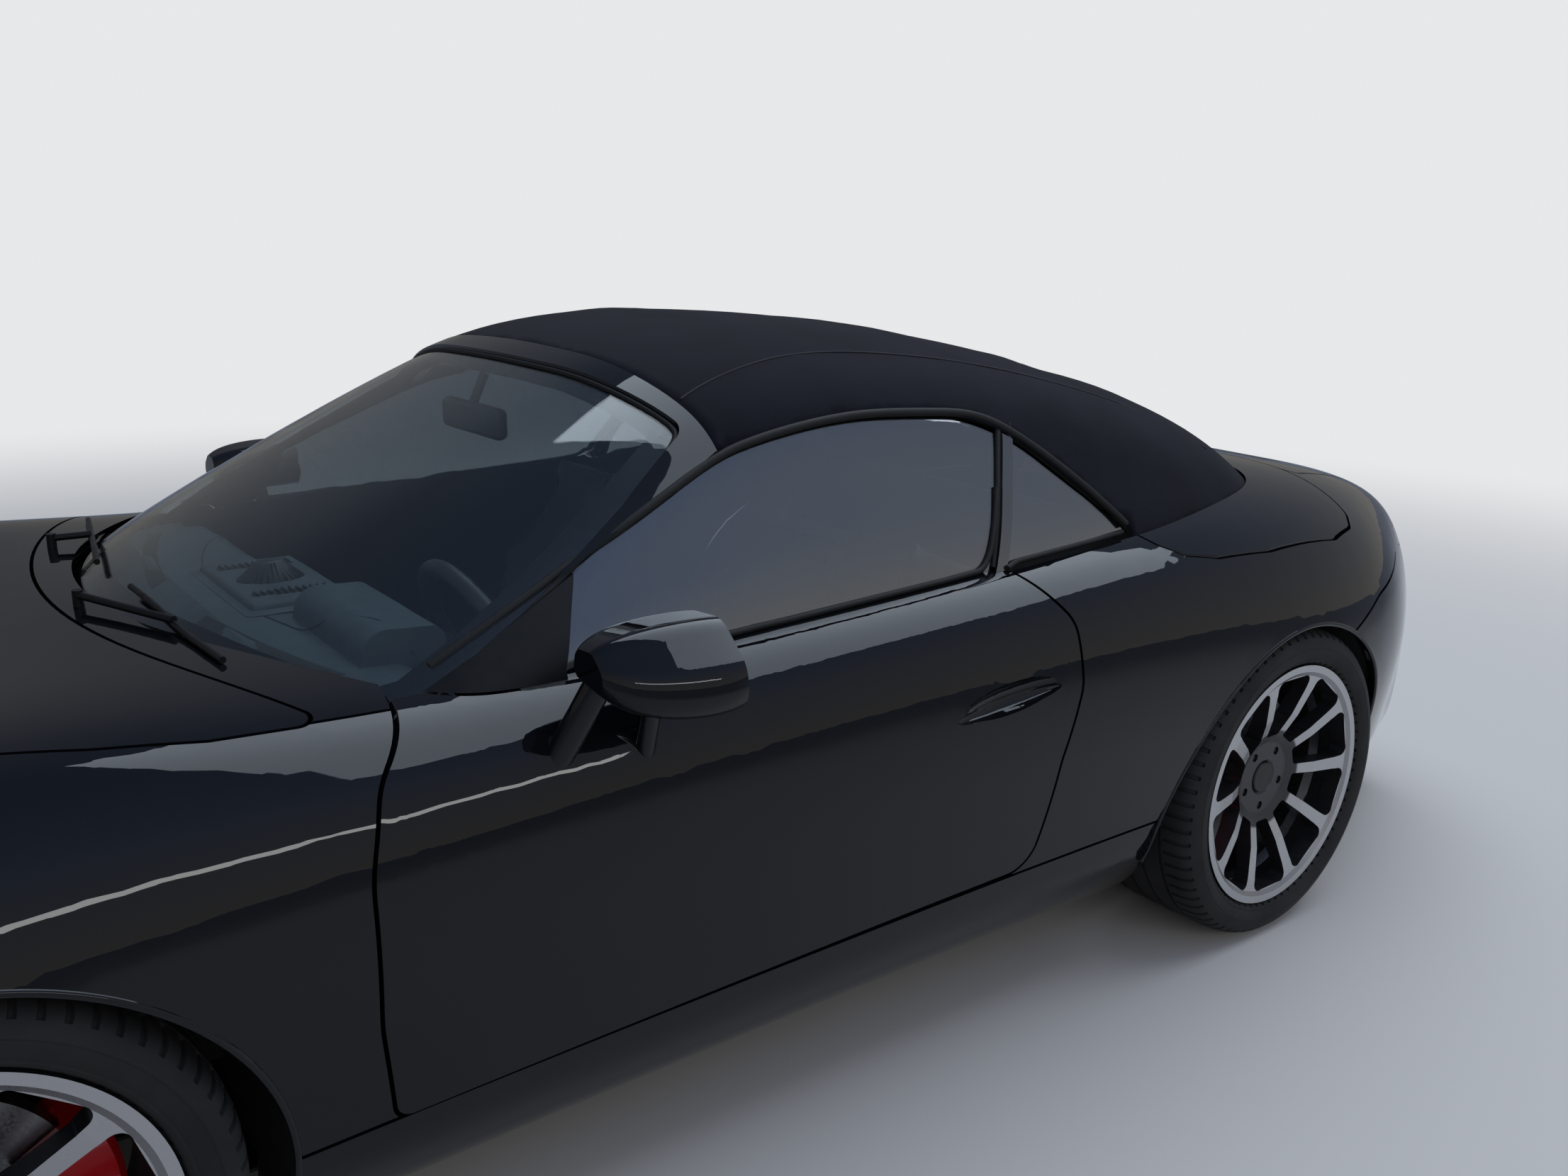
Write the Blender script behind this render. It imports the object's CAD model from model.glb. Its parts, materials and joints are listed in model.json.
# %% [markdown]
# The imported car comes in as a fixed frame: every panel, wheel and pane is already at its real
# place and size. This lesson dresses it and adds the soft and small pieces. The box that it
# fills is kept, so that the finished model can be compared with it at the end.

# %% Load the frame
import bmesh
import bpy
import json
import math
from mathutils import Matrix, Vector
from mathutils.bvhtree import BVHTree


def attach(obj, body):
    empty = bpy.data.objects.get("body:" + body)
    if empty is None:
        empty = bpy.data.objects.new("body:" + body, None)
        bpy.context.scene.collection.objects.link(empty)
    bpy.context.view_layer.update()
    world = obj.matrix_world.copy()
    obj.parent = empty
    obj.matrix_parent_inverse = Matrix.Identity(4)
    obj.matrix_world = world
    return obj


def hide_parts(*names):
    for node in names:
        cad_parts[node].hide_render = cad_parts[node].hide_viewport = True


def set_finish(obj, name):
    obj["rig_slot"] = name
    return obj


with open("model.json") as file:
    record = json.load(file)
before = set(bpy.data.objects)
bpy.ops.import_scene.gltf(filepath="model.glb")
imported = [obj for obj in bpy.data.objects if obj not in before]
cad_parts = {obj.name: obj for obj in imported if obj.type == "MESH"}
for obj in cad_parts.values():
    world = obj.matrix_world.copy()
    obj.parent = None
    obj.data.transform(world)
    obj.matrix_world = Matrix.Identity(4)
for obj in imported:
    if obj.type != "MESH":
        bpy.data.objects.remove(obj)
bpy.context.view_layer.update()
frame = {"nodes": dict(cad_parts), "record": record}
scene = bpy.context.scene
nodes = frame["nodes"]

# %% [markdown]
# The camera stands beside the front wing, a little above the roof, and looks back along the
# car. Its place and angles came from points on the wheels, pillar and shut lines. A lens of
# about 30 mm gives the close, wide view of the real picture.

# %% Camera
CAMERA_PLACE = Vector((1.31625, 2.29664, 1.43652))
CAMERA_YAW = -2.228
CAMERA_PITCH = -0.258
CAMERA_ROLL = 0.026
IMAGE_WIDTH = 2212.0
FOCAL_PIXELS = 1864.4
SENSOR = 36.0


def photo_camera():
    """Camera turned by yaw, pitch and roll, looking towards the rear of the car."""
    flat = math.cos(CAMERA_PITCH)
    ahead = Vector((flat * math.cos(CAMERA_YAW), flat * math.sin(CAMERA_YAW), math.sin(CAMERA_PITCH)))
    right = ahead.cross(Vector((0, 0, 1))).normalized()
    up = right.cross(ahead)
    rolled_right = right * math.cos(CAMERA_ROLL) + up * math.sin(CAMERA_ROLL)
    rolled_up = up * math.cos(CAMERA_ROLL) - right * math.sin(CAMERA_ROLL)
    turn = Matrix((rolled_right, rolled_up, -ahead)).transposed().to_4x4()
    data = bpy.data.cameras.new("photo_camera")
    data.sensor_width = SENSOR
    data.lens = FOCAL_PIXELS / IMAGE_WIDTH * SENSOR
    camera = bpy.data.objects.new("photo_camera", data)
    scene.collection.objects.link(camera)
    turn.translation = CAMERA_PLACE
    camera.matrix_world = turn
    return camera


scene.camera = photo_camera()
print("camera: lens", round(scene.camera.data.lens, 2), "mm")

# %% [markdown]
# Black paint shows nothing but what it mirrors, so the studio is what gives the body its
# shape. The sky fades from a pale horizon to a bluer top. One long soft box hangs over the car
# and draws the shoulder line, and a slim one stands beside it. The floor is pale and plain, and
# far from the car it melts into the pale back, so that no edge crosses the picture. The sky is
# stronger on the camera's side, which the side windows mirror, than on the far side, which the
# windscreen mirrors, so that the screen stays clear.

# %% Studio
PALE = (0.80, 0.81, 0.82, 1.0)
HORIZON = (0.78, 0.76, 0.72, 1.0)
ZENITH = (0.40, 0.54, 0.86, 1.0)
FAR_SIDE, NEAR_SIDE = 0.22, 0.62
SIDE_BLEND = 0.7
FLOOR_COLOUR = (0.66, 0.62, 0.57, 1.0)
FLOOR_HALF = 400.0
FADE_START, FADE_END = 2.6, 8.5

scene.view_settings.view_transform = "Standard"


def studio_world():
    """World with a pale plain back for the camera and a fading sky for everything else."""
    world = bpy.data.worlds.new("studio")
    world.use_nodes = True
    tree = world.node_tree
    tree.nodes.clear()
    place = tree.nodes.new("ShaderNodeTexCoord")
    split = tree.nodes.new("ShaderNodeSeparateXYZ")
    fade = tree.nodes.new("ShaderNodeValToRGB")
    fade.color_ramp.elements[0].position = 0.0
    fade.color_ramp.elements[0].color = HORIZON
    fade.color_ramp.elements[1].position = 0.85
    fade.color_ramp.elements[1].color = ZENITH
    sky = tree.nodes.new("ShaderNodeBackground")
    back = tree.nodes.new("ShaderNodeBackground")
    back.inputs["Color"].default_value = PALE
    ray = tree.nodes.new("ShaderNodeLightPath")
    mix = tree.nodes.new("ShaderNodeMixShader")
    out = tree.nodes.new("ShaderNodeOutputWorld")
    tree.links.new(place.outputs["Generated"], split.inputs[0])
    tree.links.new(split.outputs["Z"], fade.inputs[0])
    sides = tree.nodes.new("ShaderNodeMapRange")
    sides.inputs["From Min"].default_value = -SIDE_BLEND
    sides.inputs["From Max"].default_value = SIDE_BLEND
    sides.inputs["To Min"].default_value = FAR_SIDE
    sides.inputs["To Max"].default_value = NEAR_SIDE
    tree.links.new(split.outputs["Y"], sides.inputs["Value"])
    tree.links.new(sides.outputs[0], sky.inputs["Strength"])
    tree.links.new(fade.outputs[0], sky.inputs["Color"])
    tree.links.new(ray.outputs["Is Camera Ray"], mix.inputs[0])
    tree.links.new(sky.outputs[0], mix.inputs[1])
    tree.links.new(back.outputs[0], mix.inputs[2])
    tree.links.new(mix.outputs[0], out.inputs["Surface"])
    scene.world = world


def soft_box(name, place, target, width, height, power, colour=(1, 1, 1)):
    """Rectangular area lamp aimed at a point."""
    data = bpy.data.lights.new(name, "AREA")
    data.shape = "RECTANGLE"
    data.size, data.size_y, data.energy = width, height, power
    data.color = colour
    lamp = bpy.data.objects.new(name, data)
    lamp.location = place
    lamp.rotation_euler = (Vector(target) - Vector(place)).to_track_quat("-Z", "Y").to_euler()
    scene.collection.objects.link(lamp)


def pale_floor():
    """Plain floor; its own distance from the car mixes it into the pale back for the camera."""
    bm = bmesh.new()
    bmesh.ops.create_grid(bm, x_segments=1, y_segments=1, size=FLOOR_HALF)
    mesh = bpy.data.meshes.new("floor")
    bm.to_mesh(mesh)
    bm.free()
    floor = bpy.data.objects.new("floor", mesh)
    scene.collection.objects.link(floor)
    material = bpy.data.materials.new("pale_floor")
    material.use_nodes = True
    tree = material.node_tree
    shader = tree.nodes["Principled BSDF"]
    shader.inputs["Base Color"].default_value = FLOOR_COLOUR
    shader.inputs["Roughness"].default_value = 0.8
    place = tree.nodes.new("ShaderNodeTexCoord")
    reach = tree.nodes.new("ShaderNodeVectorMath")
    reach.operation = "LENGTH"
    span = tree.nodes.new("ShaderNodeMapRange")
    span.interpolation_type = "SMOOTHSTEP"
    span.inputs["From Min"].default_value = FADE_START
    span.inputs["From Max"].default_value = FADE_END
    ray = tree.nodes.new("ShaderNodeLightPath")
    both = tree.nodes.new("ShaderNodeMath")
    both.operation = "MULTIPLY"
    glow = tree.nodes.new("ShaderNodeEmission")
    glow.inputs["Color"].default_value = PALE
    mix = tree.nodes.new("ShaderNodeMixShader")
    tree.links.new(place.outputs["Object"], reach.inputs[0])
    tree.links.new(reach.outputs["Value"], span.inputs["Value"])
    tree.links.new(span.outputs[0], both.inputs[0])
    tree.links.new(ray.outputs["Is Camera Ray"], both.inputs[1])
    tree.links.new(both.outputs[0], mix.inputs[0])
    tree.links.new(shader.outputs[0], mix.inputs[1])
    tree.links.new(glow.outputs[0], mix.inputs[2])
    tree.links.new(mix.outputs[0], tree.nodes["Material Output"].inputs["Surface"])
    mesh.materials.append(material)


studio_world()
soft_box("overhead", (-2.6, -0.2, 5.2), target=(-1.6, 0, 0.6), width=6.5, height=4.6, power=230,
         colour=(0.80, 0.89, 1.0))
soft_box("side", (0.6, 5.4, 2.6), target=(-0.4, 0.4, 0.8), width=6.0, height=0.22, power=30)
pale_floor()
print("studio: two soft boxes, sky and floor")

# %% [markdown]
# Every finish is a Principled shader with its own grain. The helpers read Object coordinates in
# metres, so a scale of 100 repeats about every centimetre, whatever the size of the piece.

# %% Material helpers
def new_finish(name, colour, roughness, metallic=0.0, **sockets):
    """Material with one Principled shader and constants on its sockets."""
    material = bpy.data.materials.new(name)
    material.use_nodes = True
    shader = material.node_tree.nodes["Principled BSDF"]
    shader.inputs["Base Color"].default_value = (*colour, 1.0)
    shader.inputs["Roughness"].default_value = roughness
    shader.inputs["Metallic"].default_value = metallic
    for socket, value in sockets.items():
        shader.inputs[socket.replace("_", " ")].default_value = value
    return material


def add_noise(material, scale, detail=3.0, stretch=(1, 1, 1)):
    """Noise pattern on Object coordinates; returns its factor socket."""
    tree = material.node_tree
    place = tree.nodes.new("ShaderNodeTexCoord")
    mapping = tree.nodes.new("ShaderNodeMapping")
    mapping.inputs["Scale"].default_value = stretch
    noise = tree.nodes.new("ShaderNodeTexNoise")
    noise.inputs["Scale"].default_value = scale
    noise.inputs["Detail"].default_value = detail
    tree.links.new(place.outputs["Object"], mapping.inputs[0])
    tree.links.new(mapping.outputs[0], noise.inputs["Vector"])
    return noise.outputs["Fac"]


def add_waves(material, scale, turn=(0, 0, 0)):
    """Straight waves on Object coordinates, turned as asked; returns their factor socket."""
    tree = material.node_tree
    place = tree.nodes.new("ShaderNodeTexCoord")
    mapping = tree.nodes.new("ShaderNodeMapping")
    mapping.inputs["Rotation"].default_value = [math.radians(angle) for angle in turn]
    waves = tree.nodes.new("ShaderNodeTexWave")
    waves.inputs["Scale"].default_value = scale
    tree.links.new(place.outputs["Object"], mapping.inputs[0])
    tree.links.new(mapping.outputs[0], waves.inputs["Vector"])
    return waves.outputs["Fac"]


def multiply(material, first, second):
    """Product of two patterns."""
    tree = material.node_tree
    product = tree.nodes.new("ShaderNodeMath")
    product.operation = "MULTIPLY"
    tree.links.new(first, product.inputs[0])
    tree.links.new(second, product.inputs[1])
    return product.outputs[0]


def vary(material, socket, factor, low, high, start=0.3, end=0.7):
    """Takes a shader socket from one value to another as a pattern rises from start to end."""
    tree = material.node_tree
    shader = tree.nodes["Principled BSDF"]
    if socket == "Base Color":
        ramp = tree.nodes.new("ShaderNodeValToRGB")
        for stop, place, colour in zip(ramp.color_ramp.elements, (start, end), (low, high)):
            stop.position = place
            stop.color = (*colour, 1)
        tree.links.new(factor, ramp.inputs[0])
        tree.links.new(ramp.outputs[0], shader.inputs[socket])
        return
    span = tree.nodes.new("ShaderNodeMapRange")
    for name, value in (("From Min", start), ("From Max", end), ("To Min", low), ("To Max", high)):
        span.inputs[name].default_value = value
    tree.links.new(factor, span.inputs["Value"])
    tree.links.new(span.outputs[0], shader.inputs[socket])


def add_bump(material, factor, strength, distance):
    """Raises the surface by a pattern; distance is in metres."""
    tree = material.node_tree
    bump = tree.nodes.new("ShaderNodeBump")
    bump.inputs["Strength"].default_value = strength
    bump.inputs["Distance"].default_value = distance
    tree.links.new(factor, bump.inputs["Height"])
    tree.links.new(bump.outputs[0], tree.nodes["Principled BSDF"].inputs["Normal"])


def outward_share(material, axis):
    """How far the surface faces along one axis of the object, from 0 to 1."""
    tree = material.node_tree
    place = tree.nodes.new("ShaderNodeTexCoord")
    split = tree.nodes.new("ShaderNodeSeparateXYZ")
    size = tree.nodes.new("ShaderNodeMath")
    size.operation = "ABSOLUTE"
    tree.links.new(place.outputs["Normal"], split.inputs[0])
    tree.links.new(split.outputs[axis], size.inputs[0])
    return size.outputs[0]


# %% [markdown]
# The body is a deep black under a clear coat. The coat alone mirrors the studio, so the layer
# below keeps no shine of its own and the black stays deep. A grain finer than a millimetre
# stands for the pigment.

# %% Body paint
paint = new_finish("black_enamel", (0.0035, 0.0038, 0.005), 0.5, Specular_IOR_Level=0.0, Coat_Weight=1.0,
                   Coat_IOR=1.42, Coat_Roughness=0.015)
vary(paint, "Base Color", add_noise(paint, 900.0, 2.0), (0.0028, 0.003, 0.004), (0.0045, 0.005, 0.007))
satin_black = new_finish("satin_black_trim", (0.004, 0.004, 0.0045), 0.42, Specular_IOR_Level=0.22)
vary(satin_black, "Roughness", add_noise(satin_black, 60.0), 0.36, 0.50)
rubber = new_finish("seal_rubber", (0.008, 0.008, 0.008), 0.62, Specular_IOR_Level=0.3)
add_bump(rubber, add_noise(rubber, 700.0), 0.3, 0.0003)
shell_black = new_finish("underbody_coat", (0.012, 0.012, 0.013), 0.75)
add_bump(shell_black, add_noise(shell_black, 350.0), 0.4, 0.0008)

# %% [markdown]
# The glass is thin and lets light through, with a grey tint in the side panes. The shader's
# transmission does it all; the mesh already has both faces of the pane. The black ceramic print
# round the windscreen is a piece of its own further down.

# %% Glass
screen_glass = new_finish("screen_glass", (0.86, 0.93, 0.91), 0.0, Transmission_Weight=1.0, IOR=1.45)
side_glass = new_finish("side_glass", (0.30, 0.33, 0.33), 0.0, Transmission_Weight=1.0, IOR=1.7,
                        Coat_Weight=1.0, Coat_IOR=1.9)
lamp_lens = new_finish("lamp_lens", (0.95, 0.96, 0.97), 0.02, Transmission_Weight=1.0, IOR=1.3)
red_lens = new_finish("red_lens", (0.42, 0.008, 0.012), 0.10, Transmission_Weight=0.3, Coat_Weight=1.0)
add_bump(red_lens, add_waves(red_lens, 42.0, (0, 0, 90)), 0.5, 0.001)
ceramic = new_finish("ceramic_print", (0.003, 0.003, 0.0035), 0.5, Specular_IOR_Level=0.1)
vary(ceramic, "Roughness", add_noise(ceramic, 150.0), 0.35, 0.55)

# %% [markdown]
# The roof is a close woven cloth, nearly black with a blue cast. Two waves at right angles make
# the weave, about a millimetre from thread to thread, and a slow noise clouds the colour.

# %% Roof cloth
roof_cloth = new_finish("roof_cloth", (0.006, 0.006, 0.011), 0.92, Sheen_Weight=0.05, Sheen_Roughness=0.5,
                        Specular_IOR_Level=0.1)
vary(roof_cloth, "Base Color", add_noise(roof_cloth, 7.0, 5.0), (0.0045, 0.0048, 0.0085),
     (0.0085, 0.009, 0.015))
weave = multiply(roof_cloth, add_waves(roof_cloth, 300.0), add_waves(roof_cloth, 300.0, (0, 0, 90)))
add_bump(roof_cloth, weave, 0.45, 0.0006)
seam_cloth = new_finish("roof_binding", (0.008, 0.008, 0.012), 0.8, Sheen_Weight=0.1)
add_bump(seam_cloth, add_waves(seam_cloth, 500.0), 0.4, 0.0004)

# %% [markdown]
# The wheels are turned alloy on their outward faces and dark grey between them. The object's
# own normal says which is which: outward faces point along the axle. Near the hub the face is left
# dark, so the pattern also asks how far a point lies from the nearer axle. Fine turning marks run
# over the bright faces.

# %% Wheels, tyres and brakes
AXLES = ((1.320, 0, 0.340), (-1.130, 0, 0.3425))
HUB_DARK, HUB_BRIGHT = 0.088, 0.112


def beyond_hub(material):
    """0 near an axle and 1 further out, measured across the wheel's own plane."""
    tree = material.node_tree
    place = tree.nodes.new("ShaderNodeTexCoord")
    flat = tree.nodes.new("ShaderNodeVectorMath")
    flat.operation = "MULTIPLY"
    flat.inputs[1].default_value = (1, 0, 1)
    tree.links.new(place.outputs["Object"], flat.inputs[0])
    nearer = tree.nodes.new("ShaderNodeMath")
    nearer.operation = "MINIMUM"
    for number, axle in enumerate(AXLES):
        reach = tree.nodes.new("ShaderNodeVectorMath")
        reach.operation = "DISTANCE"
        reach.inputs[1].default_value = axle
        tree.links.new(flat.outputs[0], reach.inputs[0])
        tree.links.new(reach.outputs["Value"], nearer.inputs[number])
    span = tree.nodes.new("ShaderNodeMapRange")
    span.inputs["From Min"].default_value = HUB_DARK
    span.inputs["From Max"].default_value = HUB_BRIGHT
    tree.links.new(nearer.outputs[0], span.inputs["Value"])
    return span.outputs[0]


rim_alloy = new_finish("turned_alloy", (0.30, 0.30, 0.31), 0.34, 0.85)
outward = multiply(rim_alloy, outward_share(rim_alloy, "Y"), beyond_hub(rim_alloy))
vary(rim_alloy, "Base Color", outward, (0.065, 0.065, 0.07), (0.50, 0.50, 0.51), 0.72, 0.92)
vary(rim_alloy, "Roughness", add_noise(rim_alloy, 400.0, 2.0, (1, 0.05, 1)), 0.26, 0.42)
tyre_rubber = new_finish("tyre_rubber", (0.013, 0.013, 0.0135), 0.78, Specular_IOR_Level=0.35)
vary(tyre_rubber, "Base Color", add_noise(tyre_rubber, 14.0, 5.0), (0.010, 0.010, 0.0105),
     (0.019, 0.0185, 0.018))
add_bump(tyre_rubber, add_noise(tyre_rubber, 500.0), 0.3, 0.0004)
disc_iron = new_finish("ground_iron", (0.26, 0.26, 0.27), 0.35, 1.0)
vary(disc_iron, "Roughness", add_noise(disc_iron, 260.0, 2.0, (1, 0.1, 1)), 0.28, 0.5)
caliper_red = new_finish("caliper_red", (0.46, 0.006, 0.010), 0.3, Coat_Weight=0.6)
vary(caliper_red, "Base Color", add_noise(caliper_red, 30.0), (0.40, 0.005, 0.008), (0.50, 0.008, 0.012))
cast_alloy = new_finish("cast_alloy", (0.24, 0.24, 0.25), 0.5, 0.8)
add_bump(cast_alloy, add_noise(cast_alloy, 240.0), 0.4, 0.0008)
steel = new_finish("bright_steel", (0.50, 0.50, 0.51), 0.2, 1.0)
vary(steel, "Roughness", add_noise(steel, 40.0), 0.14, 0.30)
dark_bolt = new_finish("bolt_black", (0.03, 0.03, 0.032), 0.4, 0.6)
vary(dark_bolt, "Roughness", add_noise(dark_bolt, 300.0), 0.3, 0.5)

# %% [markdown]
# Inside, the seats are black leather with a fine pore grain and the dash is a grained skin that
# looks blue-grey under the sky. The last three finishes are for the blank plate and for the
# lamps: a dark eye in a bright bowl.

# %% Cabin finishes
leather = new_finish("black_leather", (0.020, 0.020, 0.021), 0.5)
vary(leather, "Base Color", add_noise(leather, 12.0), (0.016, 0.016, 0.017), (0.027, 0.027, 0.028))
add_bump(leather, add_noise(leather, 380.0, 4.0), 0.35, 0.0006)
stitch = new_finish("seam_thread", (0.05, 0.05, 0.052), 0.8)
add_bump(stitch, add_waves(stitch, 260.0), 0.6, 0.0006)
dash_skin = new_finish("dash_skin", (0.075, 0.098, 0.110), 0.62)
vary(dash_skin, "Base Color", add_noise(dash_skin, 25.0), (0.066, 0.088, 0.100), (0.082, 0.106, 0.118))
add_bump(dash_skin, add_noise(dash_skin, 600.0), 0.4, 0.0005)
dark_plastic = new_finish("dash_insert", (0.012, 0.013, 0.014), 0.5)
add_bump(dark_plastic, add_noise(dark_plastic, 500.0), 0.3, 0.0004)
plate_white = new_finish("blank_plate", (0.62, 0.62, 0.60), 0.4, Coat_Weight=0.3)
vary(plate_white, "Base Color", add_noise(plate_white, 60.0), (0.58, 0.58, 0.56), (0.64, 0.64, 0.62))
eye_glass = new_finish("dial_glass", (0.006, 0.006, 0.007), 0.08, Coat_Weight=0.5)
vary(eye_glass, "Roughness", add_noise(eye_glass, 90.0), 0.05, 0.12)
chrome = new_finish("lamp_bowl", (0.72, 0.73, 0.74), 0.12, 1.0)
vary(chrome, "Roughness", add_noise(chrome, 80.0), 0.08, 0.18)

# %% [markdown]
# The record names a finish slot for each node. One table takes each slot to its material, and
# every node's mesh gets it. No mesh is touched. The windscreen frame is painted like the body, and
# only the small sail at the foot of the door window stays satin.

# %% Dress the frame
FINISHES = {
    "body_paint": paint, "mirror_black": paint, "frame_black": paint, "wiper_black": satin_black,
    "shell_black": shell_black, "underbody_plastic": shell_black, "clear_glass": screen_glass,
    "tinted_glass": side_glass, "lamp_glass": lamp_lens, "tail_lamp_red": red_lens, "roof_fabric": roof_cloth,
    "rim_alloy": rim_alloy, "tyre_rubber": tyre_rubber, "disc_steel": disc_iron, "caliper_red": caliper_red,
    "engine_alloy": cast_alloy, "suspension_alloy": cast_alloy, "exhaust_steel": steel,
    "seat_leather": leather, "wheel_leather": leather, "dash_plastic": dash_skin,
}
slot_of = {part["node"]: part["material_slot"] for part in frame["record"]["subparts"]}
for name, node in nodes.items():
    node.data.materials.clear()
    node.data.materials.append(satin_black if "sail" in name else FINISHES[slot_of[name]])
print("dressed", len(nodes), "nodes")

# %% [markdown]
# New pieces are placed against the frame's own surfaces. A search tree over a few nodes answers
# where a ray from above or from the side lands, so a seal or a strip lies on its panel exactly.

# %% Shape helpers
RAY_START = 2.0


def mm(*values):
    """Point given in millimetres."""
    return Vector([value / 1000 for value in values])


def skin_of(*names):
    """Search tree over the faces of some nodes."""
    bm = bmesh.new()
    for name in names:
        bm.from_mesh(nodes[name].data)
    tree = BVHTree.FromBMesh(bm)
    bm.free()
    return tree


def from_side(skin, x, z):
    """Where a ray from the car's left lands on a skin, or None."""
    return skin.ray_cast(Vector((x, RAY_START, z)), Vector((0, -1, 0)))[0]


def from_above(skin, x, y):
    """Where a ray from above lands on a skin: the point and the surface's direction."""
    return skin.ray_cast(Vector((x, y, RAY_START)), Vector((0, 0, -1)))[:2]


def add_piece(name, bm, finish, body, slot_name, angle=40):
    """Turns a bmesh into a smooth-shaded piece that rides on a body."""
    mesh = bpy.data.meshes.new(name)
    bm.to_mesh(mesh)
    bm.free()
    mesh.materials.append(finish)
    for face in mesh.polygons:
        face.use_smooth = True
    mesh.set_sharp_from_angle(angle=math.radians(angle))
    piece = bpy.data.objects.new(name, mesh)
    scene.collection.objects.link(piece)
    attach(piece, body)
    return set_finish(piece, slot_name)


def other_side(piece, name, body):
    """The same piece on the car's right."""
    bm = bmesh.new()
    bm.from_mesh(piece.data)
    bmesh.ops.scale(bm, vec=(1, -1, 1), verts=bm.verts)
    bmesh.ops.reverse_faces(bm, faces=bm.faces)
    return add_piece(name, bm, piece.data.materials[0], body, piece["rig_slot"])


def bead_mesh(points, radius):
    """Round bead along points: a NURBS line with a bevel, turned into a bmesh."""
    curve = bpy.data.curves.new("bead", "CURVE")
    curve.dimensions = "3D"
    curve.bevel_depth = radius
    curve.bevel_resolution = 2
    curve.use_fill_caps = True
    spline = curve.splines.new("NURBS")
    spline.points.add(len(points) - 1)
    for spot, point in zip(spline.points, points):
        spot.co = (*point, 1.0)
    spline.order_u = 3
    spline.use_endpoint_u = True
    spline.resolution_u = 4
    holder = bpy.data.objects.new("bead", curve)
    scene.collection.objects.link(holder)
    mesh = bpy.data.meshes.new_from_object(holder.evaluated_get(bpy.context.evaluated_depsgraph_get()))
    bpy.data.objects.remove(holder)
    bm = bmesh.new()
    bm.from_mesh(mesh)
    bpy.data.meshes.remove(mesh)
    bmesh.ops.remove_doubles(bm, verts=bm.verts, dist=1e-5)
    bmesh.ops.recalc_face_normals(bm, faces=bm.faces)
    return bm


def bead(name, points, radius, finish, body, slot_name):
    """A bead as a piece."""
    return add_piece(name, bead_mesh(points, radius), finish, body, slot_name, 60)


def ribbon(rail_a, rail_b, rows=2):
    """Strip between two rails of points: a grid whose columns are laid from one to the other."""
    last = len(rail_a) - 1
    bm = bmesh.new()
    bmesh.ops.create_grid(bm, x_segments=last, y_segments=rows, size=0.5)
    for vert in bm.verts:
        column = round((vert.co.x + 0.5) * last)
        vert.co = rail_a[column].lerp(rail_b[column], vert.co.y + 0.5)
    return bm


def block(centre, size, bevel=0.004, segments=3):
    """Box with rounded edges, in metres."""
    bm = bmesh.new()
    bmesh.ops.create_cube(bm, size=1.0)
    bmesh.ops.scale(bm, vec=size, verts=bm.verts)
    bmesh.ops.bevel(bm, geom=bm.edges[:], offset=bevel, offset_type="OFFSET", segments=segments, profile=0.5,
                    affect="EDGES", material=-1)
    bmesh.ops.translate(bm, vec=centre, verts=bm.verts)
    return bm


def spun(profile, centre, axis=(0, 1, 0), steps=64, closed=False):
    """Shape turned about an axle through a centre; the profile is (distance along, radius) in mm."""
    bm = bmesh.new()
    along = Vector(axis).normalized()
    out = along.orthogonal().normalized()
    verts = [bm.verts.new(centre + along * a / 1000 + out * r / 1000) for a, r in profile]
    for first, second in zip(verts, verts[1:]):
        bm.edges.new((first, second))
    if closed:
        bm.edges.new((verts[-1], verts[0]))
    bmesh.ops.spin(bm, geom=bm.verts[:] + bm.edges[:], cent=centre, axis=along, angle=math.tau, steps=steps,
                   use_merge=True)
    bmesh.ops.remove_doubles(bm, verts=bm.verts, dist=1e-6)
    bmesh.ops.recalc_face_normals(bm, faces=bm.faces)
    return bm


def merge_in(bm, other):
    """Adds another bmesh to this one."""
    mesh = bpy.data.meshes.new("part")
    other.to_mesh(mesh)
    other.free()
    bm.from_mesh(mesh)
    bpy.data.meshes.remove(mesh)


# %% [markdown]
# A road tyre is a ring with a soft shoulder, four grooves round its tread and short slots in
# the shoulders. The profile is spun about the axle, and then the shoulder faces of every third
# step are pushed in, which cuts the slots. The sidewall keeps only plain rings, with no lettering.

# %% Tyres
# Each corner: the axle's x and y, the tyre's radius, half its width and half the rim's width. All
# stand on the ground, so the radius is the axle's height too.
TYRES = {
    "front_left": (1320, 757, 340, 122, 114), "front_right": (1320, -757, 340, 122, 114),
    "rear_left": (-1130, 748, 342.5, 147, 137), "rear_right": (-1130, -748, 342.5, 147, 137),
}
TYRE_STEPS = 216
SLOT_EVERY = 3
SLOT_EDGE, SLOT_DEPTH = 0.0022, 0.0045


def tyre_side(radius, half, lip):
    """Profile from the bead to the middle of the tread as (radius, distance from the middle)."""
    line = [(254.5, lip - 12), (264.5, lip - 11), (268, lip - 3), (272, lip + 2), (276, half - 4),
            (279, half - 4.6), (282, half - 2.6), (294, half - 0.3), (300, half), (301, half - 1),
            (303, half - 1), (304, half - 0.5), (312, half - 3), (radius - 18, half - 8),
            (radius - 11, half - 15), (radius - 6, half - 25), (radius - 3.4, half - 36)]
    for groove, wide in ((half * 0.50, 5.0), (half * 0.16, 5.5)):
        crown = radius - 2.4 * (groove / half) ** 2
        line += [(crown, groove + wide), (crown - 7, groove + wide - 1), (crown - 7, groove - wide + 1),
                 (crown, groove - wide)]
    return line + [(radius, 0)]


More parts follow.
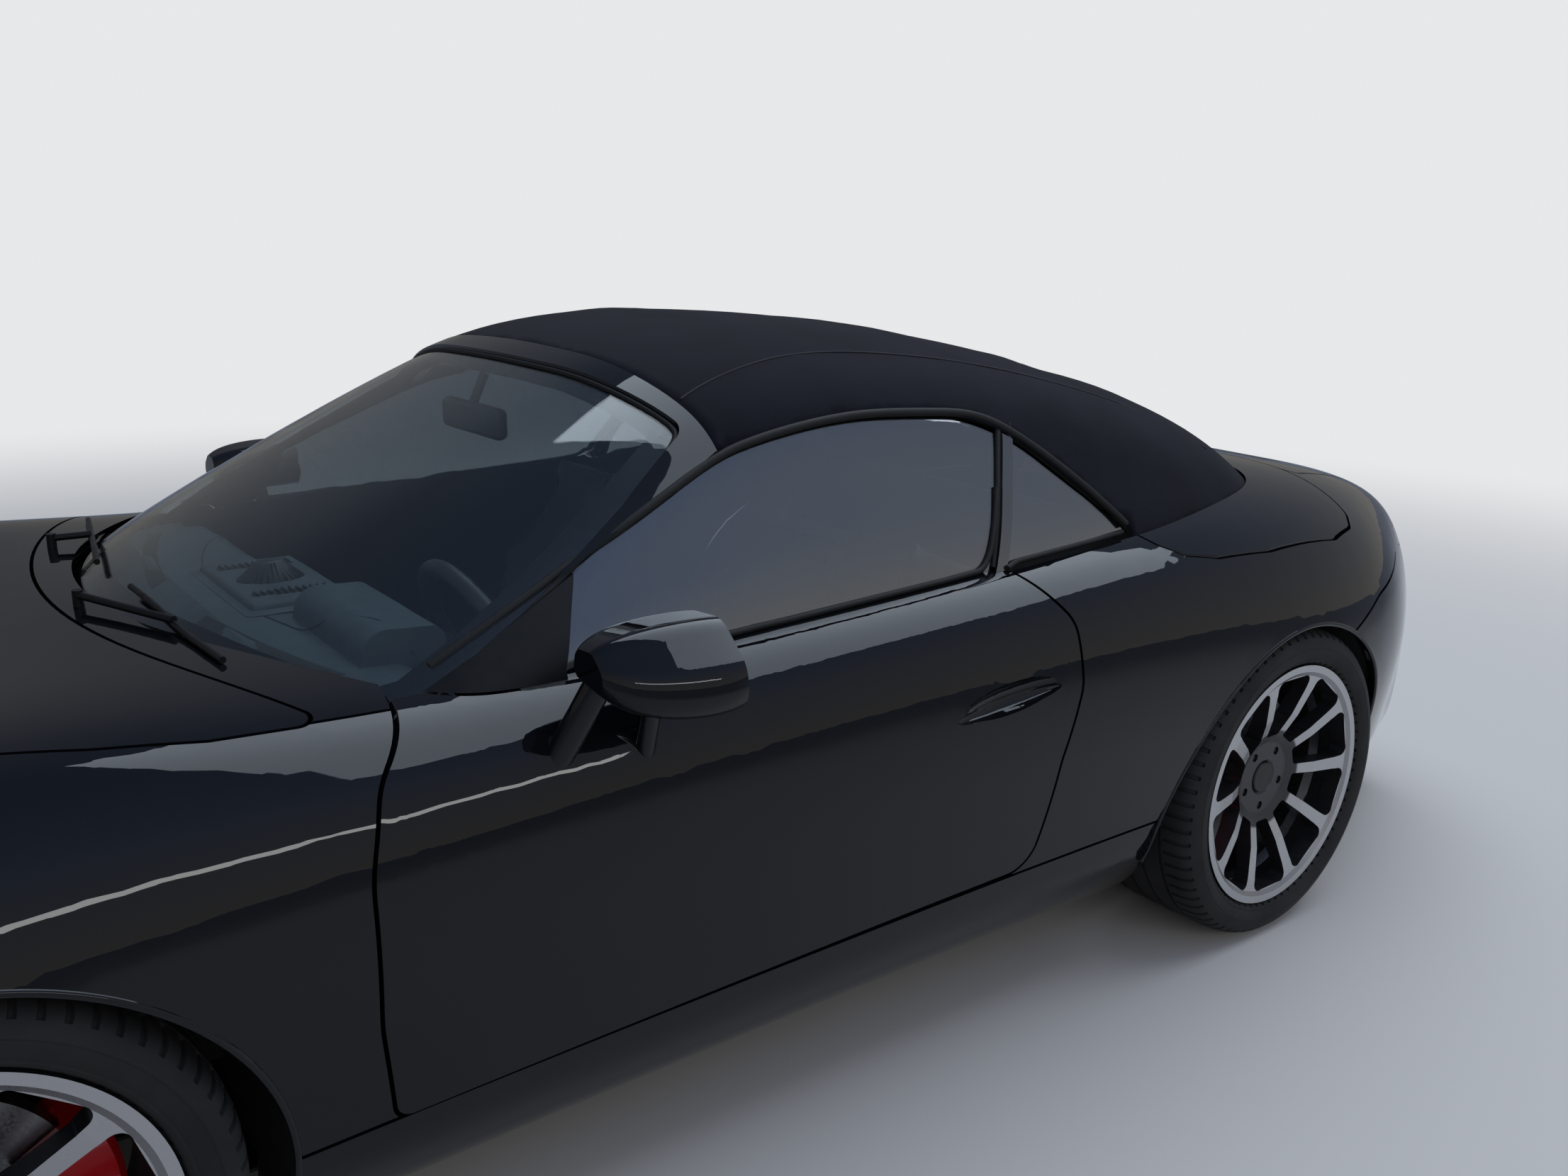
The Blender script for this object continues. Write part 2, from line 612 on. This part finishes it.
for corner, (x, y, radius, half, lip) in TYRES.items():
    left = tyre_side(radius, half, lip)
    line = [(a, r) for r, a in left] + [(-a, r) for r, a in reversed(left[:-1])]
    centre = mm(x, y, radius)
    tyre = spun(line, centre, steps=TYRE_STEPS, closed=True)
    low_edge, high_edge = (half * 0.50 + 8) / 1000, (half - 10) / 1000
    slots = []
    for face in tyre.faces:
        reach = face.calc_center_median() - centre
        turn = math.degrees(math.atan2(reach.z, reach.x)) % 360
        if low_edge < abs(reach.y) < high_edge and int(turn * TYRE_STEPS / 360) % SLOT_EVERY == 0:
            slots.append(face)
    bmesh.ops.inset_region(tyre, faces=slots, thickness=SLOT_EDGE, depth=-SLOT_DEPTH, use_even_offset=True)
    piece = add_piece("tyre_" + corner + "_tread", tyre, tyre_rubber, "wheel_" + corner, "tyre_rubber", 30)
    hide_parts("tyre_" + corner)
print("tyres:", len(TYRES), "with", len(slots), "slot faces each")

# %% [markdown]
# Five bolts hold each wheel, and a plain cap closes its middle. The holes are in the rim
# already: a ray finds the face of the hub, and the bolts stand a little below it.

# %% Wheel bolts and caps
BOLTS = 5
BOLT_CIRCLE, BOLT_START, BOLT_SUNK = 65, 126, 12
BORE_FROM, BORE_TO, HUB_FACE_AT = 15, 60, 52

for corner, (x, y, z, *_) in TYRES.items():
    side = 1 if y > 0 else -1
    rim = skin_of("rim_" + corner)
    inward = Vector((0, -side, 0))
    ring = [rim.ray_cast(mm(x + r, 2000 * side, z), inward)[0] for r in range(BORE_FROM, BORE_TO)]
    bore = BORE_FROM + next(i for i, hit in enumerate(ring) if hit is not None)
    face = rim.ray_cast(mm(x + HUB_FACE_AT, 2000 * side, z), inward)[0].y * 1000
    bolts = bmesh.new()
    for number in range(BOLTS):
        angle = math.radians(BOLT_START + 360 // BOLTS * number)
        ahead, up = BOLT_CIRCLE * math.cos(angle), BOLT_CIRCLE * math.sin(angle)
        spot = mm(x + ahead, face - BOLT_SUNK * side, z + up)
        one = bmesh.new()
        bmesh.ops.create_cone(one, cap_ends=True, segments=6, radius1=0.0075, radius2=0.0075, depth=0.016)
        bmesh.ops.bevel(one, geom=one.edges[:], offset=0.001, offset_type="OFFSET", segments=1, profile=0.5,
                        affect="EDGES", material=-1)
        bmesh.ops.rotate(one, cent=(0, 0, 0), matrix=Matrix.Rotation(math.pi / 2, 3, "X"), verts=one.verts)
        bmesh.ops.translate(one, vec=spot, verts=one.verts)
        merge_in(bolts, one)
    add_piece("wheel_bolts_" + corner, bolts, dark_bolt, "wheel_" + corner, "suspension_alloy")
    cap_line = [(-12, 0.01), (-12, bore - 1), (-1, bore - 0.6), (1.5, bore - 2), (2.2, bore - 5),
                (1.4, bore - 8), (2.4, bore - 14), (2.8, 0.01)]
    cap = spun([(a * side, r) for a, r in cap_line], mm(x, face, z), steps=48)
    add_piece("wheel_cap_" + corner, cap, dark_plastic, "wheel_" + corner, "rim_alloy", 30)
print("hub bore", bore, "mm, five bolts on each wheel")

# %% [markdown]
# The roof is one stretched sheet of cloth over bows. The frame's solid is only its space, so
# the outer skin of a merged copy is kept, its long edges are split, and the cloth is pulled into
# shape: slight ridges where the bows press from below and a soft hollow between them.

# %% Roof cloth sheet
BOWS = (-0.135, -0.50, -0.86)
BOW_HALF, BOW_RISE = 0.045, 0.0035
ROOF_HEART = Vector((-0.55, 0, 0.72))
OUTWARD_LEAST = 0.12
SPLIT_LENGTH = 0.04
CLOTH_THICKNESS = 0.003


def roof_sheet():
    """Outer skin of the closed roof's solid, split finely and drawn over the bows."""
    bm = bmesh.new()
    bm.from_mesh(nodes["soft_top"].data)
    bmesh.ops.remove_doubles(bm, verts=bm.verts, dist=0.0001)
    inner = []
    for face in bm.faces:
        out = face.calc_center_median() - ROOF_HEART
        if face.normal.dot(out.normalized()) < OUTWARD_LEAST:
            inner.append(face)
    bmesh.ops.delete(bm, geom=inner, context="FACES")
    for _ in range(4):
        long_edges = [edge for edge in bm.edges if edge.calc_length() > SPLIT_LENGTH]
        if not long_edges:
            break
        bmesh.ops.subdivide_edges(bm, edges=long_edges, cuts=1)
        bmesh.ops.triangulate(bm, faces=bm.faces)
    bmesh.ops.dissolve_degenerate(bm, edges=bm.edges, dist=1e-5)
    bm.normal_update()
    for vert in bm.verts:
        if vert.is_boundary:
            continue
        ease = max(0.0, 1 - (abs(vert.co.y) / 0.5) ** 4)
        ridge = sum(math.exp(-((vert.co.x - bow) / BOW_HALF) ** 2) for bow in BOWS)
        vert.co += vert.normal * (BOW_RISE * (ridge - 0.45) * ease * max(0.0, vert.normal.z))
    return bm


cloth = roof_sheet()
roof_area = sum(face.calc_area() for face in cloth.faces)
roof = add_piece("roof_cloth_sheet", cloth, roof_cloth, "body", "roof_fabric", 50)
wall = roof.modifiers.new("cloth_thickness", "SOLIDIFY")
wall.thickness = CLOTH_THICKNESS
wall.offset = -1
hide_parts("soft_top")
print("roof cloth area", round(roof_area, 3), "m2")

# %% [markdown]
# Two long side seams hold the middle panel to the side panels. They are thin beads laid on the
# skin where the picture shows them.

# %% Roof seams
SEAM_RADIUS = 0.0016
SEAM = ((175, 560), (150, 500), (111, 488), (29, 470), (-71, 452), (-170, 446), (-275, 447), (-422, 455),
        (-540, 462), (-660, 472), (-840, 498), (-983, 530), (-1146, 590), (-1260, 640))
roof_skin = skin_of("soft_top")
seam_points = []
for x, y in SEAM:
    spot, lean = from_above(roof_skin, x / 1000, y / 1000)
    if spot is not None:
        seam_points.append(spot + lean * 0.0015)
seam_left = bead("roof_seam_left", seam_points, SEAM_RADIUS, seam_cloth, "body", "roof_fabric")
seam_right = other_side(seam_left, "roof_seam_right", "body")
print("roof seams:", len(seam_points), "points each")

# %% [markdown]
# Rubber runs round each opening: above the door window and quarter window, along the belt line,
# and down both sides of the slim post between them. The upper line is the window's own outline,
# and a wider channel behind its rear half closes the view past the edge of the glass.

# %% Window seals
UPPER_RADIUS, BELT_RADIUS, POST_RADIUS = 0.0075, 0.0055, 0.0065
CHANNEL_RADIUS, CORE_RADIUS = 0.011, 0.010
BELT_FROM, BELT_STEP, BELT_STEPS = 0.83, 0.001, 240
side_skin = skin_of("soft_top", "door_sail_left", "windscreen_frame", "windscreen")
UPPER = ((655, 866), (560, 912), (440, 970), (300, 1038), (150, 1107), (60, 1130), (-60, 1148), (-170, 1155),
         (-300, 1150), (-420, 1142), (-500, 1108), (-600, 1036), (-690, 958), (-722, 926))
upper_points = []
for x, z in UPPER:
    for lift in (4, 8, 12, 16):
        spot = from_side(side_skin, x / 1000, (z + lift) / 1000)
        if spot is not None:
            upper_points.append(Vector((x / 1000, spot.y + 0.0015, (z - 2) / 1000)))
            break
upper_left = bead("window_seal_left", upper_points, UPPER_RADIUS, rubber, "body", "wiper_black")
other_side(upper_left, "window_seal_right", "body")
channel = [spot + Vector((0, -0.020, -0.006)) for spot in upper_points[7:-1]]
channel_left = bead("window_channel_left", channel, CHANNEL_RADIUS, rubber, "body", "wiper_black")
other_side(channel_left, "window_channel_right", "body")


def belt_line(pane, xs):
    """Points along the lowest line of a pane that shows from the side, a little proud of it."""
    points = []
    for x in xs:
        for step in range(BELT_STEPS):
            spot = from_side(pane, x, BELT_FROM + step * BELT_STEP)
            if spot is not None:
                points.append(spot + Vector((0, 0.002, 0.003)))
                break
    return points


door_pane, quarter_pane = skin_of("door_glass_left"), skin_of("quarter_windows")
door_belt = belt_line(door_pane, [0.46 - 0.04 * i for i in range(23)])
belt_left = bead("belt_seal_left", door_belt, BELT_RADIUS, rubber, "door_left", "wiper_black")
other_side(belt_left, "belt_seal_right", "door_right")
quarter_belt = belt_line(quarter_pane, [-0.385 - 0.03 * i for i in range(12)])
quarter_left = bead("quarter_seal_left", quarter_belt, BELT_RADIUS, rubber, "body", "wiper_black")
other_side(quarter_left, "quarter_seal_right", "body")
POST_FOOT, POST_TOP = Vector((-0.377, 0, 0.884)), Vector((-0.489, 0, 1.116))
for name, shift, pane, body, twin in (("pane_edge", 0.014, door_pane, "door_left", "door_right"),
                                      ("post_edge", -0.014, quarter_pane, "body", "body")):
    post = []
    for step in (0, 2, 4, 6, 8):
        at = POST_FOOT.lerp(POST_TOP, step / 8) + Vector((shift, 0, 0))
        spot = from_side(pane, at.x + math.copysign(0.012, shift), at.z)
        across = spot.y + 0.0005 if spot is not None else 2 * post[-1].y - post[-2].y
        post.append(Vector((at.x, across, at.z)))
    strip = bead(name + "_left", post, POST_RADIUS, rubber, body, "wiper_black")
    other_side(strip, name + "_right", twin)
middle = [spot + Vector((0.014, -0.009, 0)) for spot in post]
core = bead("post_core_left", middle, CORE_RADIUS, rubber, "body", "wiper_black")
other_side(core, "post_core_right", "body")
print("seals: belt", len(door_belt), "points, quarter", len(quarter_belt), "points")

# %% [markdown]
# Black ceramic is printed on the inner face of a bonded windscreen, wide at the foot and narrow
# at the sides. It is a strip between the screen's outline and the same outline drawn inwards,
# dropped on the glass and kept a little inside it. A rubber lip closes the outer edge.

# %% Windscreen print and lip
SCREEN_SIDE = ((700, 694), (600, 688), (535, 674), (473, 659), (400, 637), (330, 615), (255, 586), (195, 560))
PRINT_FOOT, PRINT_SIDE, PRINT_HEAD = 70, 46, 40
PRINT_BELOW = 0.0064
LIP_RADIUS = 0.0055


def foot_x(y):
    """Where the foot of the screen lies at a distance from the car's middle, in mm."""
    return 985 - 210 * (y / 700) ** 2


outline = [(foot_x(y), y) for y in range(-680, 681, 40)]
outline += SCREEN_SIDE
outline += [(240 - 60 * (y / 556) ** 2, y) for y in range(540, -541, -60)]
outline += [(x, -y) for x, y in reversed(SCREEN_SIDE)]
outline.append(outline[0])
pane_skin = skin_of("windscreen")


def on_screen(x, y, below=0.0):
    """Point on the windscreen, moved towards its middle until the glass is met."""
    for step in range(30):
        share = 1 - 0.004 * step
        spot, lean = from_above(pane_skin, (560 + (x - 560) * share) / 1000, y * share / 1000)
        if spot is not None:
            return spot - lean * below
    return None


def drawn_in(line, width_at):
    """The closed outline moved inwards by a width that depends on the place."""
    moved = []
    count = len(line) - 1
    for i in range(count):
        before, after = Vector(line[(i - 1) % count]), Vector(line[(i + 1) % count])
        along = (after - before).normalized()
        inward = Vector((-along.y, along.x))
        moved.append(tuple(Vector(line[i]) + inward * width_at(*line[i])))
    return moved + [moved[0]]


def print_width(x, y):
    """Width of the print: the foot, the sides or the head."""
    if x > foot_x(y) - 1:
        return PRINT_FOOT
    return PRINT_HEAD if x < 242 and abs(y) < 545 else PRINT_SIDE


outer_edge = drawn_in(outline, lambda x, y: 4)
inner_edge = drawn_in(outline, print_width)
frit = ribbon([Vector((x, y, 0)) for x, y in outer_edge], [Vector((x, y, 0)) for x, y in inner_edge], 3)
for vert in frit.verts:
    vert.co = on_screen(vert.co.x, vert.co.y, PRINT_BELOW)
bmesh.ops.remove_doubles(frit, verts=frit.verts, dist=1e-4)
add_piece("windscreen_print", frit, ceramic, "body", "frame_black", 60)
lip_points = [on_screen(x, y, -0.0005) for x, y in drawn_in(outline, lambda x, y: 2)]
bead("windscreen_lip", lip_points, LIP_RADIUS, rubber, "body", "wiper_black")
print("windscreen print round", len(outline), "outline points")

# %% [markdown]
# Each arch has a rolled lip that catches a thin line of light. It is a bead along the arch's
# circle, at the depth where a ray from the side meets the panel just outside it.

# %% Arch lips
ARCH_LIP_RADIUS, ARCH_OUTSIDE, ARCH_LEAST_Y = 0.006, 4, 0.78
arch_skin = skin_of("front_fenders", "front_bumper", "rear_quarters", "rear_bumper", "sills", "door_left")
for name, (x, z, radius) in {"front": (1312, 301, 388), "rear": (-1142, 301, 394)}.items():
    lip = []
    for degrees in range(-8, 189, 6):
        turn = math.radians(degrees)
        ahead, up = math.cos(turn), math.sin(turn)
        outside = radius + ARCH_OUTSIDE
        spot = from_side(arch_skin, (x + outside * ahead) / 1000, (z + outside * up) / 1000)
        if spot is not None and spot.y > ARCH_LEAST_Y:
            lip.append(Vector(((x + radius * ahead) / 1000, spot.y - 0.003, (z + radius * up) / 1000)))
    arch = bead("arch_lip_" + name + "_left", lip, ARCH_LIP_RADIUS, paint, "body", "body_paint")
    other_side(arch, "arch_lip_" + name + "_right", "body")
    print("arch lip", name, len(lip), "points")

# %% [markdown]
# Seats are foam under leather, so they are blown up a little as cloth: a plain form is remeshed
# finely, given a slight inner pressure for twenty frames, and no point may move further than a
# cap. The gentle swelling rounds the edges as real padding does.

# %% Padding
SWELL_CAP = 0.016
SWELL_FRAMES = 20
SWELL_PRESSURE = 4.0
VOXEL = 0.009


def swell(bm):
    """Remeshes a closed form and swells it by cloth pressure; returns the new bmesh."""
    mesh = bpy.data.meshes.new("pad_form")
    bm.to_mesh(mesh)
    bm.free()
    form = bpy.data.objects.new("pad_form", mesh)
    scene.collection.objects.link(form)
    grid = form.modifiers.new("grid", "REMESH")
    grid.mode = "VOXEL"
    grid.voxel_size = VOXEL
    even = bpy.data.meshes.new_from_object(form.evaluated_get(bpy.context.evaluated_depsgraph_get()))
    form.modifiers.clear()
    form.data = even
    start = [vert.co.copy() for vert in even.vertices]
    cloth = form.modifiers.new("foam", "CLOTH")
    cloth.settings.use_pressure = True
    cloth.settings.uniform_pressure_force = SWELL_PRESSURE
    cloth.settings.effector_weights.gravity = 0.0
    for number in range(1, SWELL_FRAMES + 1):
        scene.frame_set(number)
    blown = bpy.data.meshes.new_from_object(form.evaluated_get(bpy.context.evaluated_depsgraph_get()))
    for vert, before in zip(blown.vertices, start):
        moved = vert.co - before
        if moved.length > SWELL_CAP:
            vert.co = before + moved.normalized() * SWELL_CAP
    form.modifiers.clear()
    form.data = blown
    scene.frame_set(1)
    result = bmesh.new()
    result.from_mesh(form.data)
    bpy.data.objects.remove(form)
    for _ in range(3):
        bmesh.ops.smooth_vert(result, verts=result.verts, factor=0.5, use_axis_x=True, use_axis_y=True,
                              use_axis_z=True)
    return result


def pad_block(centre, size, lean=0.0, cuts=5):
    """Upright subdivided box to be shaped, and the placement that tilts it and moves it home."""
    bm = bmesh.new()
    bmesh.ops.create_cube(bm, size=1.0)
    bmesh.ops.subdivide_edges(bm, edges=bm.edges[:], cuts=cuts, use_grid_fill=True)
    bmesh.ops.scale(bm, vec=size, verts=bm.verts)
    return bm, Matrix.Translation(centre) @ Matrix.Rotation(math.radians(lean), 4, "Y")


# %% [markdown]
# A front seat has a cushion with raised sides and a tall back that narrows into its own head
# restraint. Both are shaped while upright: points near the sides come forward as bolsters, and
# points near the top move in. The right seat is the left one mirrored.

# %% Front seats
def front_cushion():
    """Seat cushion with bolsters at its sides and a rounded front."""
    bm, place = pad_block(mm(215, 360, 338), (0.50, 0.45, 0.10), -4)
    for vert in bm.verts:
        across = abs(vert.co.y) / 0.225
        if vert.co.z > 0:
            vert.co.z += 0.032 * max(0.0, across - 0.55) / 0.45
        if vert.co.x > 0.2:
            vert.co.z -= 0.02 * (vert.co.x - 0.2) / 0.05
    bmesh.ops.transform(bm, matrix=place, verts=bm.verts)
    return bm


def front_back():
    """Seat back with bolsters, narrowed at its top into the head restraint."""
    bm, place = pad_block(mm(-120, 360, 665), (0.085, 0.45, 0.54), -13, 8)
    for vert in bm.verts:
        height = vert.co.z / 0.27
        across = abs(vert.co.y) / 0.225
        if height > 0.25:
            vert.co.y *= 1 - 0.52 * min(1.0, (height - 0.25) / 0.45)
        elif vert.co.x > 0:
            vert.co.x += 0.045 * max(0.0, across - 0.6) / 0.4
    bmesh.ops.transform(bm, matrix=place, verts=bm.verts)
    return bm


for name, form in {"cushion": front_cushion(), "back": front_back()}.items():
    pad = add_piece("front_seat_" + name + "_left", swell(form), leather, "body", "seat_leather", 80)
    other_side(pad, "front_seat_" + name + "_right", "body")
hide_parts("front_seats")
base = block(mm(205, 360, 232), (0.40, 0.34, 0.13), 0.02)
seat_base = add_piece("front_seat_base_left", base, dark_plastic, "body", "shell_black")
other_side(seat_base, "front_seat_base_right", "body")

# %% [markdown]
# The small rear seats are two shallow bowls. Each is a cushion and a back, made the same way.

# %% Rear seats
for name, centre, size, lean in (("cushion", mm(-592, 262, 398), (0.15, 0.36, 0.065), 12),
                                 ("back", mm(-715, 262, 590), (0.065, 0.36, 0.34), -30)):
    form, place = pad_block(centre, size, lean)
    for vert in form.verts:
        across = abs(vert.co.y) / 0.18
        if name == "back" and vert.co.x > 0:
            vert.co.x += 0.02 * max(0.0, across - 0.6) / 0.4
    bmesh.ops.transform(form, matrix=place, verts=form.verts)
    pad = add_piece("rear_seat_" + name + "_left", swell(form), leather, "body", "seat_leather", 80)
    other_side(pad, "rear_seat_" + name + "_right", "body")
    if name == "cushion":
        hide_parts("rear_seats")

# %% [markdown]
# On the dash top lie the things that show through the windscreen: a low pod with a pointed
# little housing and a ribbed vent on each side of it, and the long dark defroster slots that
# follow the foot of the glass. Each one sits on the skin that a ray from above finds.

# %% Dash top
dash_top = skin_of("dashboard")


def on_dash(x, y, lift=0.0):
    """Point on the dashboard's top."""
    spot = from_above(dash_top, x / 1000, y / 1000)[0]
    return spot + Vector((0, 0, lift))


pod_top = on_dash(665, 0).z
pod = block(Vector((0.665, 0, pod_top + 0.006)), (0.19, 0.36, 0.026), 0.011, 4)
for vert in pod.verts:
    if vert.co.z > pod_top + 0.006:
        vert.co.y *= 0.90 - 0.25 * (0.76 - vert.co.x)
        vert.co.x = 0.665 + (vert.co.x - 0.665) * 0.86
add_piece("dash_pod", pod, dash_skin, "body", "dash_plastic")
slats = bmesh.new()
for side in (-1, 1):
    merge_in(slats, block(Vector((0.665, 0.105 * side, pod_top + 0.0185)), (0.130, 0.022, 0.003), 0.001, 1))
    for number in range(11):
        x = 0.608 + 0.0115 * number
        merge_in(slats, block(Vector((x, 0.105 * side, pod_top + 0.0215)), (0.004, 0.026, 0.006), 0.001, 1))
add_piece("dash_vents", slats, dark_plastic, "body", "dash_plastic")
clock = bmesh.new()
bmesh.ops.create_cone(clock, cap_ends=True, segments=32, radius1=0.048, radius2=0.018, depth=0.034)
bmesh.ops.scale(clock, vec=(1.25, 0.9, 1), verts=clock.verts)
bmesh.ops.bevel(clock, geom=clock.edges[:], offset=0.004, offset_type="OFFSET", segments=2, profile=0.5,
                affect="EDGES", material=-1)
bmesh.ops.translate(clock, vec=Vector((0.668, 0, pod_top + 0.034)), verts=clock.verts)
add_piece("dash_clock_housing", clock, dark_plastic, "body", "dash_plastic", 50)
for name, ys in (("left", range(130, 541, 40)), ("right", range(-540, -129, 40))):
    front_rail, rear_rail = [], []
    for y in ys:
        x = 838 - 150 * (y / 700) ** 2
        front_rail.append(on_dash(x, y, 0.0012))
        rear_rail.append(on_dash(x - 26, y, 0.0012))
    slot_strip = ribbon(front_rail, rear_rail, 2)
    bmesh.ops.solidify(slot_strip, geom=slot_strip.faces[:], thickness=0.001)
    add_piece("defroster_" + name, slot_strip, dark_plastic, "body", "dash_plastic")
seam_line = [on_dash(750 - 190 * (y / 620) ** 2, y, 0.0006) for y in range(-600, 601, 60)]
bead("dash_seam", seam_line, 0.0016, stitch, "body", "dash_plastic")
print("dash top at", round(pod_top, 3), "m")

# %% [markdown]
# A cabin mirror hangs from the middle of the header on a short stem. Its case is a bevelled
# block squeezed to an oval outline.

# %% Cabin mirror
case = block(mm(281, 0, 1100), (0.030, 0.235, 0.068), 0.013, 4)
for vert in case.verts:
    vert.co.z = 1.100 + (vert.co.z - 1.100) * (1 - 0.25 * (abs(vert.co.y) / 0.118) ** 3)
add_piece("cabin_mirror", case, dark_plastic, "body", "mirror_black", 50)
bead("cabin_mirror_stem", [mm(285, 0, 1118), mm(270, 0, 1150), mm(256, 0, 1180)], 0.009, dark_plastic, "body",
     "mirror_black")

# %% [markdown]
# The tail carries a plain bare plate in its recess, held by a slim dark frame.

# %% Rear plate
plate = block(mm(-2238.2, 0, 492), (0.0035, 0.505, 0.108), 0.0012, 2)
add_piece("rear_plate_blank", plate, plate_white, "body", "body_paint")
plate_frame = block(mm(-2237, 0, 492), (0.003, 0.522, 0.121), 0.001, 2)
add_piece("rear_plate_frame", plate_frame, dark_plastic, "body", "shell_black")

# %% [markdown]
# A headlamp is a clear cover over a bright bowl with a round lens in it. The frame's lamp is a
# solid of glass, so its outer skin is kept as a thin cover and the bowl is spun behind it.

# %% Headlamps
LAMP_AXIS = Vector((0.62, 0.25, 0.74)).normalized()
LAMP_CENTRE = mm(1905, 640, 735)
FRONT_LEAST = 0.45
COVER_THICKNESS = 0.003
BOWL_LINE = [(-58, 0.01), (-57, 30), (-44, 62), (-26, 84), (-16, 90), (-18, 92), (-30, 86), (-48, 64),
             (-61, 31), (-62, 0.01)]
EYE_LINE = [(-56, 26), (-34, 34), (-31, 36), (-28, 33), (-29, 28), (-26, 20), (-24, 10), (-23, 0.01)]
cover = bmesh.new()
cover.from_mesh(nodes["headlamps"].data)
bmesh.ops.remove_doubles(cover, verts=cover.verts, dist=0.0001)
hidden = []
for face in cover.faces:
    axis = LAMP_AXIS if face.calc_center_median().y > 0 else Vector((LAMP_AXIS.x, -LAMP_AXIS.y, LAMP_AXIS.z))
    if face.normal.dot(axis) < FRONT_LEAST:
        hidden.append(face)
bmesh.ops.delete(cover, geom=hidden, context="FACES")
lens = add_piece("headlamp_covers", cover, lamp_lens, "body", "lamp_glass", 60)
shell = lens.modifiers.new("cover_thickness", "SOLIDIFY")
shell.thickness = COVER_THICKNESS
shell.offset = -1
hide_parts("headlamps")
bowl = spun(BOWL_LINE, LAMP_CENTRE, LAMP_AXIS, 64)
bowl_left = add_piece("headlamp_bowl_left", bowl, chrome, "body", "lamp_glass", 30)
other_side(bowl_left, "headlamp_bowl_right", "body")
eye = spun(EYE_LINE, LAMP_CENTRE, LAMP_AXIS, 48)
eye_left = add_piece("headlamp_eye_left", eye, eye_glass, "body", "lamp_glass", 30)
other_side(eye_left, "headlamp_eye_right", "body")
print("headlamps: cover, bowl and lens on each side")
